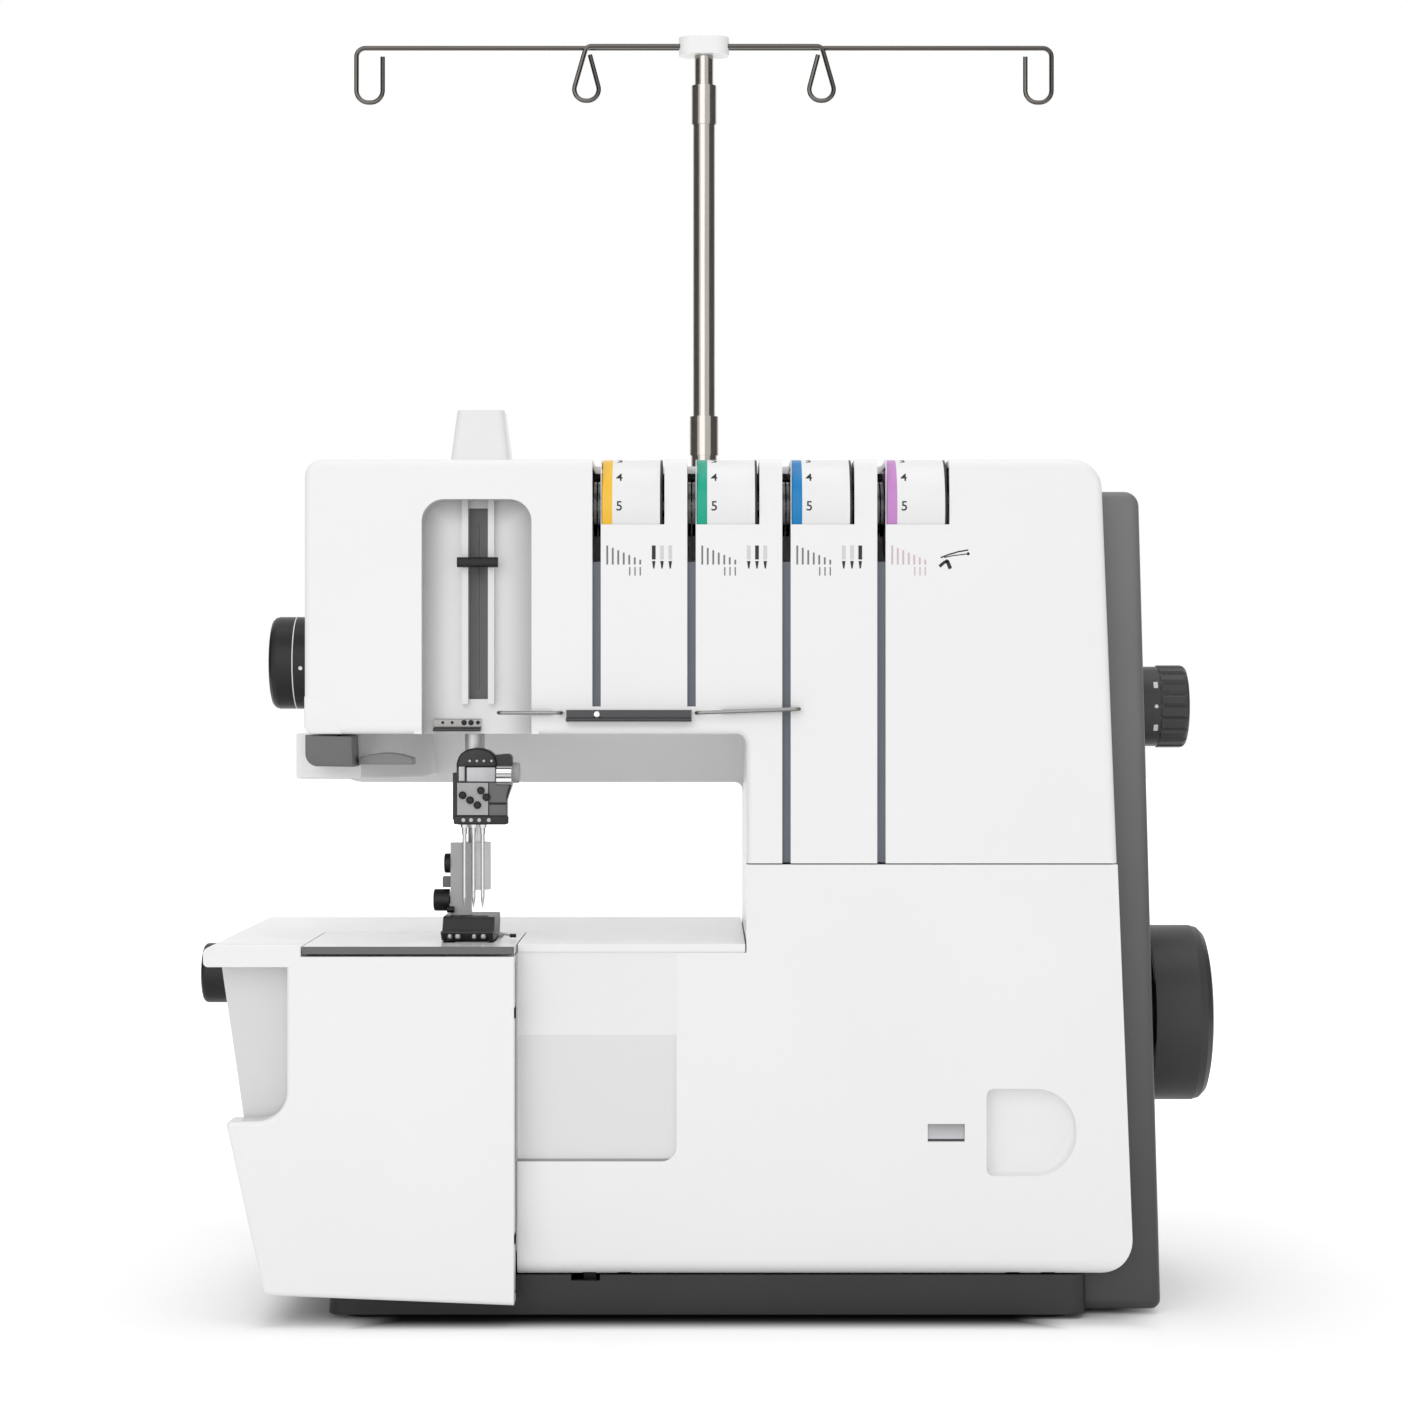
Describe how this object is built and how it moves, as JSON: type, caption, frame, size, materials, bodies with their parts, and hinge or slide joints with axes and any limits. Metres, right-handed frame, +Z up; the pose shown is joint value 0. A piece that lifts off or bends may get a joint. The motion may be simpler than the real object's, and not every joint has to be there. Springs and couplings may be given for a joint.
{
  "type": "coverstitch sewing machine",
  "caption": "Free-arm coverstitch sewing machine with coloured tension dials, hinged looper covers, handwheel and telescopic thread mast.",
  "frame": {"origin": "under the middle of the machine's box, on the table that its feet stand on", "axes": "+Z up along the thread mast, +X to the right of the person sewing, -Y towards that person"},
  "size_m": [0.422, 0.28, 0.553],
  "materials": {
    "white_plastic": "satin moulded",
    "dark_plastic": "satin moulded",
    "rubber": "matte",
    "steel": "ground",
    "dark_steel": "blackened",
    "chrome": "polished",
    "cast_aluminium": "as cast",
    "bronze": "turned",
    "motor_paint": "black paint",
    "lens": "frosted",
    "dial_yellow": "satin moulded",
    "dial_green": "satin moulded",
    "dial_blue": "satin moulded",
    "dial_violet": "satin moulded"
  },
  "bodies": {
    "housing": {"upper_front_cover": "white_plastic", "rear_cover": "white_plastic", "rear_cover_screws": "steel", "bed_cover": "white_plastic", "front_cover_pins": "steel", "side_cover_hinge": "steel", "base_tray": "dark_plastic", "rubber_feet": "rubber", "end_cover": "dark_plastic", "power_inlet": "dark_plastic", "chassis_frame": "cast_aluminium", "shaft_bushes": "bronze", "drive_belts": "rubber", "motor": "motor_paint", "take_up_guide_rod": "steel", "take_up_guard": "dark_plastic", "take_up_hood": "white_plastic", "needle_plate": "steel", "tension_discs": "steel", "slot_liners": "dark_plastic", "spool_tray": "white_plastic", "spool_pins": "white_plastic", "cone_holders": "white_plastic", "mast_outer_tube": "chrome", "thread_guides": "steel", "thread_cutter": "dark_plastic", "lamp_lens": "lens"},
    "main_drive": {"main_shaft": "steel", "handwheel": "dark_plastic", "main_shaft_wheels": "steel"},
    "upper_drive": {"upper_shaft": "steel", "upper_shaft_wheels": "steel"},
    "motor_rotor": {"motor_shaft": "steel"},
    "needle_unit": {"needle_bar": "steel", "needle_clamp": "dark_steel", "needle_clamp_plate": "steel", "needles": "steel"},
    "rocker": {"needle_rocker": "steel"},
    "presser": {"presser_bar": "steel", "presser_ankle": "steel", "presser_foot": "dark_steel"},
    "lifter": {"presser_lifter": "steel"},
    "take_up": {"take_up_lever": "dark_plastic"},
    "feed": {"feed_dog": "steel"},
    "differential_feed": {"differential_feed_dog": "steel"},
    "looper_arm": {"looper": "steel"},
    "feed_knob": {"feed_dial": "dark_plastic"},
    "pressure_knob": {"pressure_dial": "dark_plastic"},
    "length_knob": {"stitch_length_dial": "dark_plastic"},
    "front_door": {"front_cover": "white_plastic"},
    "side_door": {"side_cover": "white_plastic"},
    "mast_middle": {"mast_middle_tube": "chrome"},
    "mast_top": {"mast_top_rod": "chrome"},
    "guide_arms": {"guide_cap": "white_plastic", "thread_guide_wires": "chrome"},
    "switch": {"power_switch": "dark_plastic"},
    "tension_yellow": {"tension_dial_yellow": "dial_yellow"},
    "tension_green": {"tension_dial_green": "dial_green"},
    "tension_blue": {"tension_dial_blue": "dial_blue"},
    "tension_violet": {"tension_dial_violet": "dial_violet"}
  },
  "joints": [
    {"name": "handwheel_turn", "type": "hinge", "parent": "housing", "child": "main_drive", "pos_m": [0, -0.045, 0.116], "axis": [1, 0, 0], "continuous": true},
    {"name": "upper_shaft_turn", "type": "hinge", "parent": "housing", "child": "upper_drive", "pos_m": [0, -0.045, 0.3], "axis": [1, 0, 0], "continuous": true},
    {"name": "motor_turn", "type": "hinge", "parent": "housing", "child": "motor_rotor", "pos_m": [0, -0.002, 0.062], "axis": [1, 0, 0], "continuous": true},
    {"name": "needle_bar_slide", "type": "slide", "parent": "housing", "child": "needle_unit", "axis": [0, 0, 1], "range_m": [-0.028, 0]},
    {"name": "needle_rocker_swing", "type": "hinge", "parent": "housing", "child": "rocker", "pos_m": [-0.086, -0.045, 0.284], "axis": [1, 0, 0], "range_deg": [0, 31]},
    {"name": "take_up_slide", "type": "slide", "parent": "housing", "child": "take_up", "axis": [0, 0, 1], "range_m": [-0.0395, 0]},
    {"name": "presser_lever", "type": "hinge", "parent": "housing", "child": "lifter", "pos_m": [-0.07, 0, 0.249], "axis": [0, -1, 0], "range_deg": [0, 60.2]},
    {"name": "presser_lift", "type": "slide", "parent": "housing", "child": "presser", "axis": [0, 0, 1], "range_m": [0, 0.007]},
    {"name": "feed_travel", "type": "slide", "parent": "housing", "child": "feed", "axis": [0, 1, 0], "range_m": [-0.0025, 0.0025]},
    {"name": "differential_travel", "type": "slide", "parent": "housing", "child": "differential_feed", "axis": [0, 1, 0], "range_m": [-0.0025, 0.0025]},
    {"name": "looper_rock", "type": "hinge", "parent": "housing", "child": "looper_arm", "pos_m": [-0.086, -0.08, 0.045], "axis": [0, 1, 0], "range_deg": [-6, 6]},
    {"name": "feed_dial_turn", "type": "hinge", "parent": "housing", "child": "feed_knob", "pos_m": [-0.2, -0.06, 0.134], "axis": [1, 0, 0], "range_deg": [-90, 90]},
    {"name": "pressure_dial_turn", "type": "hinge", "parent": "housing", "child": "pressure_knob", "pos_m": [-0.17, -0.082, 0.264], "axis": [1, 0, 0], "range_deg": [-150, 150]},
    {"name": "stitch_length_turn", "type": "hinge", "parent": "housing", "child": "length_knob", "pos_m": [0.19, -0.045, 0.246], "axis": [1, 0, 0], "range_deg": [-120, 120]},
    {"name": "front_cover_open", "type": "hinge", "parent": "housing", "child": "front_door", "pos_m": [0.045, -0.119, 0.0245], "axis": [1, 0, 0], "range_deg": [0, 90]},
    {"name": "side_cover_open", "type": "hinge", "parent": "housing", "child": "side_door", "pos_m": [-0.081, -0.1362, 0.08], "axis": [0, 0, 1], "range_deg": [0, 90]},
    {"name": "mast_middle_slide", "type": "slide", "parent": "housing", "child": "mast_middle", "axis": [0, 0, 1], "range_m": [-0.125, 0]},
    {"name": "mast_top_slide", "type": "slide", "parent": "mast_middle", "child": "mast_top", "axis": [0, 0, 1], "range_m": [-0.012, 0]},
    {"name": "guide_turn", "type": "hinge", "parent": "mast_top", "child": "guide_arms", "pos_m": [-0.001, 0.062, 0.549], "axis": [0, 0, 1], "range_deg": [-90, 90]},
    {"name": "power_switch_tilt", "type": "hinge", "parent": "housing", "child": "switch", "pos_m": [0.181, 0.009, 0.044], "axis": [0, 1, 0], "range_deg": [-14, 0]},
    {"name": "tension_yellow_turn", "type": "hinge", "parent": "housing", "child": "tension_yellow", "pos_m": [-0.03, -0.106, 0.326], "axis": [1, 0, 0], "range_deg": [-150, 150]},
    {"name": "tension_green_turn", "type": "hinge", "parent": "housing", "child": "tension_green", "pos_m": [0.008, -0.106, 0.326], "axis": [1, 0, 0], "range_deg": [-150, 150]},
    {"name": "tension_blue_turn", "type": "hinge", "parent": "housing", "child": "tension_blue", "pos_m": [0.046, -0.106, 0.326], "axis": [1, 0, 0], "range_deg": [-150, 150]},
    {"name": "tension_violet_turn", "type": "hinge", "parent": "housing", "child": "tension_violet", "pos_m": [0.084, -0.106, 0.326], "axis": [1, 0, 0], "range_deg": [-150, 150]}
  ],
  "couplings": [
    {"joint": "upper_shaft_turn", "follows": "handwheel_turn", "ratio": 1},
    {"joint": "motor_turn", "follows": "handwheel_turn", "ratio": 4},
    {"joint": "needle_rocker_swing", "follows": "needle_bar_slide", "rad_per_m": -19.2},
    {"joint": "take_up_slide", "follows": "needle_bar_slide", "ratio": 1.4},
    {"joint": "presser_lever", "follows": "presser_lift", "rad_per_m": 149.6},
    {"joint": "differential_travel", "follows": "feed_travel", "ratio": 1}
  ]
}
